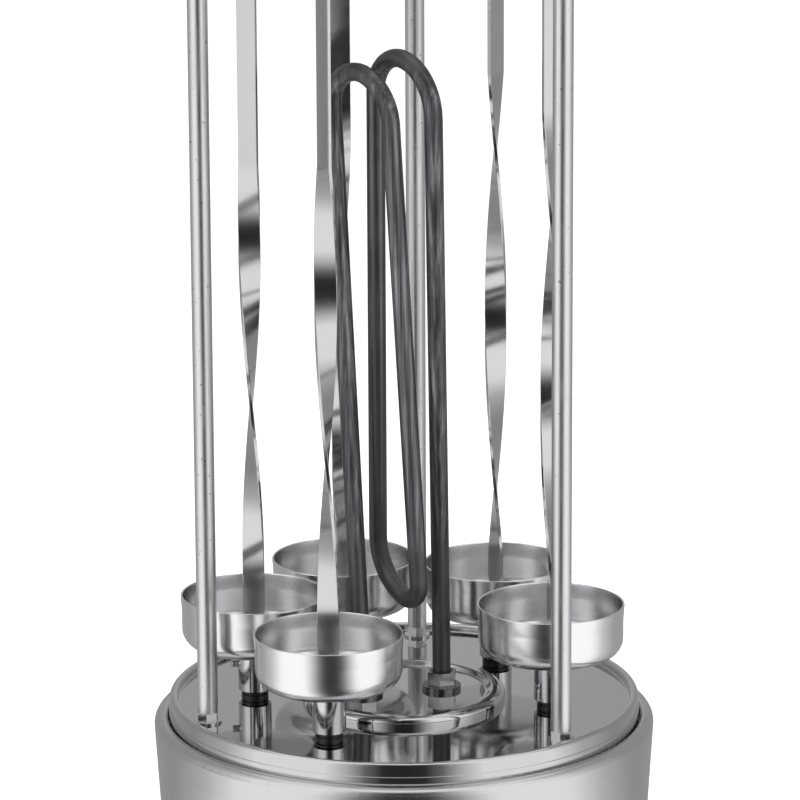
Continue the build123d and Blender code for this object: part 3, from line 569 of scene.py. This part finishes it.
# Radius, height and rounding of each corner, along the upper side and back along the under side
deck_rim = [
    (deck_floor_edge, deck_top, 0),
    (bead_inside, deck_top, 0.0006),
    (bead_inside, bead_top, 0.00165),
    (bead_outside, bead_top, 0.00165),
    (bead_outside, step_top, 0.00015),
    (skirt_outside, step_top, 0.00015),
    (skirt_outside, skirt_foot, 0),
    (skirt_outside - deck_wall, skirt_foot, 0),
    (skirt_outside - deck_wall, step_top - deck_wall, 0.00015),
    (bead_outside - deck_wall, step_top - deck_wall, 0.0003),
    (bead_outside - deck_wall, bead_top - deck_wall, 0.0005),
    (bead_inside + deck_wall, bead_top - deck_wall, 0.0005),
    (bead_inside + deck_wall, deck_top - deck_wall, 0.0008),
    (deck_floor_edge, deck_top - deck_wall, 0),
]
deck = pressed_disc(
    "deck_polished", deck_rim, deck_floor_edge, deck_top, deck_wall,
    holes=[centre_hole, *bush_holes, *stud_holes, *collar_holes], steps=256,
)
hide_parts("deck_plate")
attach(deck, "base")
deck_mirror = metal_finish(
    "deck_mirror", (0.58, 0.58, 0.59), contrast=0.025, roughness=0.04,
    grain=turned_lines, grain_numbers={"Fineness": 2400.0, "Streak": 1.0},
    relief=0.01, rough_spread=0.01,
)
deck.data.materials.append(deck_mirror)


# ---------------------------------------------------------------- raised pan
# A low dish of polished steel with a rounded rim. The heater's two collars go through it and
# clamp it to the deck.
pan_wall = 0.001
pan_radius = 0.045
pan_rim_inside = 0.039
pan_slope_inside = 0.0362
pan_floor_edge = 0.0335
pan_floor_top = deck_top + 0.0027
pan_rim_top = deck_top + 0.0047

# Under the slope the corners lie part of a wall further out than above it.
pan_rim = [
    (pan_floor_edge, pan_floor_top, 0),
    (pan_slope_inside, pan_floor_top, 0.0017),
    (pan_rim_inside, pan_rim_top, 0.0017),
    (pan_radius, pan_rim_top, 0.0032),
    (pan_radius, deck_top, 0),
    (pan_radius - pan_wall, deck_top, 0),
    (pan_radius - pan_wall, pan_rim_top - pan_wall, 0.0022),
    (pan_rim_inside + 0.5 * pan_wall, pan_rim_top - pan_wall, 0.0008),
    (pan_slope_inside + 0.4 * pan_wall, pan_floor_top - pan_wall, 0.0008),
    (pan_floor_edge, pan_floor_top - pan_wall, 0),
]
pan = pressed_disc(
    "pan_polished", pan_rim, pan_floor_edge, pan_floor_top, pan_wall,
    holes=collar_holes, steps=192,
)
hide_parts("heater_boss")
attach(pan, "base")
pan.data.materials.append(deck_mirror)


# ---------------------------------------------------------------- neck bushes
# Five black moulded bushes in the deck, each with a groove round its neck, in which the
# spindles turn.
bush_plastic = moulded_finish(
    "bush_plastic", (0.014, 0.014, 0.014), contrast=0.2, roughness=0.24, relief=0.1,
)
dress(bush_plastic, "neck_bushes")


# ---------------------------------------------------------------- posts
# Three drawn steel bars stand on flanged nuts on the deck. A thread at each end goes through
# to a nut under the base and a domed nut on the top disc.
post_steel = metal_finish(
    "post_steel", (0.72, 0.72, 0.72), contrast=0.06, roughness=0.31,
    grain=drawn_lines, grain_numbers={"Fineness": 1500.0, "Length": 14.0},
    relief=0.1, smudge=0.10, specks=0.5,
)
nut_chrome = metal_finish(
    "nut_chrome", (0.60, 0.60, 0.61), contrast=0.08, roughness=0.14,
    grain=drawn_lines, grain_numbers={"Fineness": 1600.0, "Length": 1600.0},
)
dress(post_steel, "posts")
dress(nut_chrome, "post_foot_nuts", "cap_nuts")
dress(zinc_screws, "tie_nuts")


# ---------------------------------------------------------------- top disc
# A flat steel ring with its rim turned down holds the tops of the posts, and a flanged bush
# for each skewer. It is brushed in rings like the base.
dress(shell_satin, "top_disc")
dress(nut_chrome, "top_bushes")


# ---------------------------------------------------------------- heater
# One bent heating tube, its steel sheath grey from the heat, with threaded collars on its
# feet. A washer and nut above and a lock nut below hold each collar. A ceramic bead round a
# terminal pin closes each end.
heater_grey = bpy.data.materials.new("heater_grey")
tree = node_tree(heater_grey)
place = add_node(tree, "ShaderNodeTexCoord").outputs["Object"]
highlight_streaks_at = {"Vector": place, "Fineness": 420.0, "Length": 2.5}
painted_highlight_streaks = add_node(tree, "ShaderNodeGroup", highlight_streaks_at, node_tree=drawn_lines).outputs["Lines"]
burnt_at = {"Vector": place, "Cloud": 42.0, "Tooth": 2200.0}
burnt = add_node(tree, "ShaderNodeGroup", burnt_at, node_tree=moulded_grain).outputs

# Painted highlights: lighter streaks in the sheath's colour run up the straight legs, and fade out
# towards the lower and the upper bends.
level = add_node(tree, "ShaderNodeSeparateXYZ", {"Vector": place}).outputs["Z"]
above_lower_bend = spread(tree, level, 0.158, 0.175)
under_upper_bends = spread(tree, level, 0.382, 0.362)
on_legs = calculate(tree, "MULTIPLY", above_lower_bend, under_upper_bends)
painted_highlight_streaks = calculate(tree, "MULTIPLY", calculate(tree, "SUBTRACT", painted_highlight_streaks, 0.45), on_legs)
# The sheath's tone is the burnt clouds from the heat plus these painted highlight streaks.
burnt_tone_and_painted_highlights = calculate(tree, "ADD", painted_highlight_streaks, spread(tree, burnt["Cloud"], 0.0, 1.0, 0.35, 0.55))
ramp = add_node(tree, "ShaderNodeValToRGB", {"Fac": burnt_tone_and_painted_highlights})
set_ramp(ramp, [
    (0.1, (0.06, 0.058, 0.063)), (0.5, (0.13, 0.127, 0.134)), (0.95, (0.36, 0.35, 0.36)),
])
bump = add_node(tree, "ShaderNodeBump", {
    "Height": burnt["Tooth"], "Strength": 0.15, "Distance": 0.00006,
})
sheath = add_node(tree, "ShaderNodeBsdfPrincipled", {
    "Base Color": ramp.outputs["Color"], "Metallic": 0.75, "Normal": bump.outputs[0],
    "Roughness": spread(tree, burnt["Cloud"], 0.0, 1.0, 0.32, 0.5),
})
add_node(tree, "ShaderNodeOutputMaterial", {"Surface": sheath.outputs[0]})
heater_nut_steel = metal_finish(
    "heater_nut_steel", (0.38, 0.375, 0.38), contrast=0.2, roughness=0.13,
    grain=drawn_lines, grain_numbers={"Fineness": 1200.0, "Length": 1200.0},
)
heater_washer_steel = metal_finish(
    "heater_washer_steel", (0.2, 0.2, 0.205), contrast=0.2, roughness=0.25,
    grain=drawn_lines, grain_numbers={"Fineness": 900.0, "Length": 900.0},
)
dress(heater_grey, "heater_element")
dress(heater_nut_steel, "heater_nuts")
dress(heater_washer_steel, "heater_washers")
dress(zinc_screws, "heater_lock_nuts", "heater_terminals")
dress(block_ceramic, "heater_insulators")


# ---------------------------------------------------------------- drip cups
# Five cups pressed from steel sheet, one under each skewer, with a slightly flared lip. They
# are spun to a satin finish inside and out.
cup_wall = 0.0009
cup_bore = 0.0046
cup_side = 0.0317
cup_lip = 0.0322
cup_foot = 0.1187
cup_flare_start = 0.13494
cup_top = 0.1419

# Radius, height and rounding of each corner, up the outside and down the inside
cup_outline = [
    (cup_bore, cup_foot, 0),
    (cup_side, cup_foot, 0.008),
    (cup_side, cup_flare_start, 0.02),
    (cup_lip, cup_top, 0.0004),
    (cup_lip - cup_wall, cup_top, 0.0004),
    (cup_side - cup_wall, cup_flare_start, 0.019),
    (cup_side - cup_wall, cup_foot + cup_wall, 0.0071),
    (cup_bore, cup_foot + cup_wall, 0),
]


def turned_piece(name, corners, centre):
    """A solid turned from a closed outline round an upright axis."""
    bm = bmesh.new()
    rounded_outline(bm, corners)
    bmesh.ops.translate(bm, vec=(*centre, 0), verts=bm.verts)
    spin_round(bm, steps=128, centre=centre)
    bmesh.ops.recalc_face_normals(bm, faces=bm.faces)
    return mesh_object(name, bm, smooth_angle=35)


for number, place in zip(station_numbers, stations):
    cup = turned_piece(f"cup_satin_{number}", cup_outline, place)
    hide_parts(f"cup_{number}")
    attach(cup, f"station_{number}")
    cup.data.materials.append(metal_finish(
        f"cup_satin_{number}", (0.84, 0.84, 0.85), contrast=0.03, roughness=0.2,
        grain=turned_lines, grain_numbers={"Fineness": 3200.0, "Streak": 2.0},
        relief=0.03, centre=place, rough_spread=0.03,
    ))


# ---------------------------------------------------------------- sleeves and side screws
# Each cup is riveted on a bright turned sleeve that slips over its spindle, and a small
# round-ended screw in the sleeve's side ties the two.
for number, place in zip(station_numbers, stations):
    sleeve_chrome = metal_finish(
        f"sleeve_chrome_{number}", (0.62, 0.62, 0.63), contrast=0.08, roughness=0.08,
        grain=turned_lines, grain_numbers={"Fineness": 1800.0, "Streak": 1.0},
        relief=0.05, centre=place, smudge=0.08, rough_spread=0.03,
    )
    dress(sleeve_chrome, f"sleeve_{number}")
    dress(nut_chrome, f"side_screw_{number}")


# ---------------------------------------------------------------- skewers
# Five flat bars of polished steel, twisted left-handed over most of their length. A narrow
# tang stands in the slot of the sleeve, and the flat rounded end comes out of the top disc.
blade_half_width = 0.0048
blade_half_thickness = 0.0008
blade_edge_rounding = 0.00018
tang_half_width = 0.002
tang_foot = 0.1138
taper_foot = 0.1212
taper_top = 0.1347
twist_start = 0.1447
twist_per_metre = radians(-180) / 0.155
twist_steps = 260
skewer_end = 0.4695

# Heading of the blade under its twist, and the height where the twist ends, for each skewer
blades = [(76.7, 0.360), (100.7, 0.365), (34.6, 0.350), (162.8, 0.334), (149.7, 0.345)]

# How far apart the five skewers lie on the map that their grain follows
grain_pitch = 0.02


def twisted_blade(name, place, heading, twist_end, grain_shift):
    """A flat bar with a tang, a twist and a rounded end, and its grain running along it."""
    bm = bmesh.new()
    half = blade_half_width
    side = [
        (tang_half_width, tang_foot), (tang_half_width, taper_foot),
        (half, taper_top), (half, twist_start), (half, twist_end),
    ]
    for turn in range(0, 91, 15):
        rise = half * sin(radians(turn))
        side.append((half * cos(radians(turn)), skewer_end - half + rise))
    outline = side + [(-x, z) for x, z in reversed(side[:-1])]
    face = bm.faces.new([bm.verts.new((x, -blade_half_thickness, z)) for x, z in outline])
    solid = bmesh.ops.extrude_face_region(bm, geom=[face])["geom"]
    thickness = 2 * blade_half_thickness
    bmesh.ops.translate(bm, vec=(0, thickness, 0), verts=only(bmesh.types.BMVert, solid))
    bmesh.ops.recalc_face_normals(bm, faces=bm.faces)
    rims = [edge for edge in bm.edges if abs(edge.calc_length() - thickness) > 1e-6]
    bmesh.ops.bevel(
        bm, geom=rims, offset=blade_edge_rounding, offset_type="OFFSET", segments=2, profile=0.5,
        affect="EDGES", material=-1,
    )
    for step in range(twist_steps + 1):
        cut = (0, 0, twist_start + (twist_end - twist_start) * step / twist_steps)
        everything = list(bm.verts) + list(bm.edges) + list(bm.faces)
        bmesh.ops.bisect_plane(bm, geom=everything, dist=1e-7, plane_co=cut, plane_no=(0, 0, 1))
    flat_map = bm.loops.layers.uv.new("along_blade")
    for face in bm.faces:
        for loop in face.loops:
            loop[flat_map].uv = (loop.vert.co.x + grain_shift, loop.vert.co.z)
    for vert in bm.verts:
        twisted_length = min(max(vert.co.z, twist_start), twist_end) - twist_start
        turn = twisted_length * twist_per_metre + radians(heading)
        vert.co = Matrix.Rotation(turn, 3, "Z") @ vert.co
    bmesh.ops.translate(bm, vec=(place.x, place.y, 0), verts=bm.verts)
    return mesh_object(name, bm, smooth_angle=12)


blade_steel = metal_finish(
    "blade_steel", (0.60, 0.60, 0.60), contrast=0.10, roughness=0.12,
    grain=drawn_lines, grain_numbers={"Fineness": 2600.0, "Length": 12.0},
    relief=0.06, smudge=0.10, rough_spread=0.04, from_map=True,
)
for number, place, (heading, twist_end) in zip(station_numbers, stations, blades):
    blade = twisted_blade(
        f"blade_twisted_{number}", place, heading, twist_end, grain_shift=number * grain_pitch,
    )
    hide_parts(f"skewer_{number}")
    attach(blade, f"skewer_{number}")
    blade.data.materials.append(blade_steel)
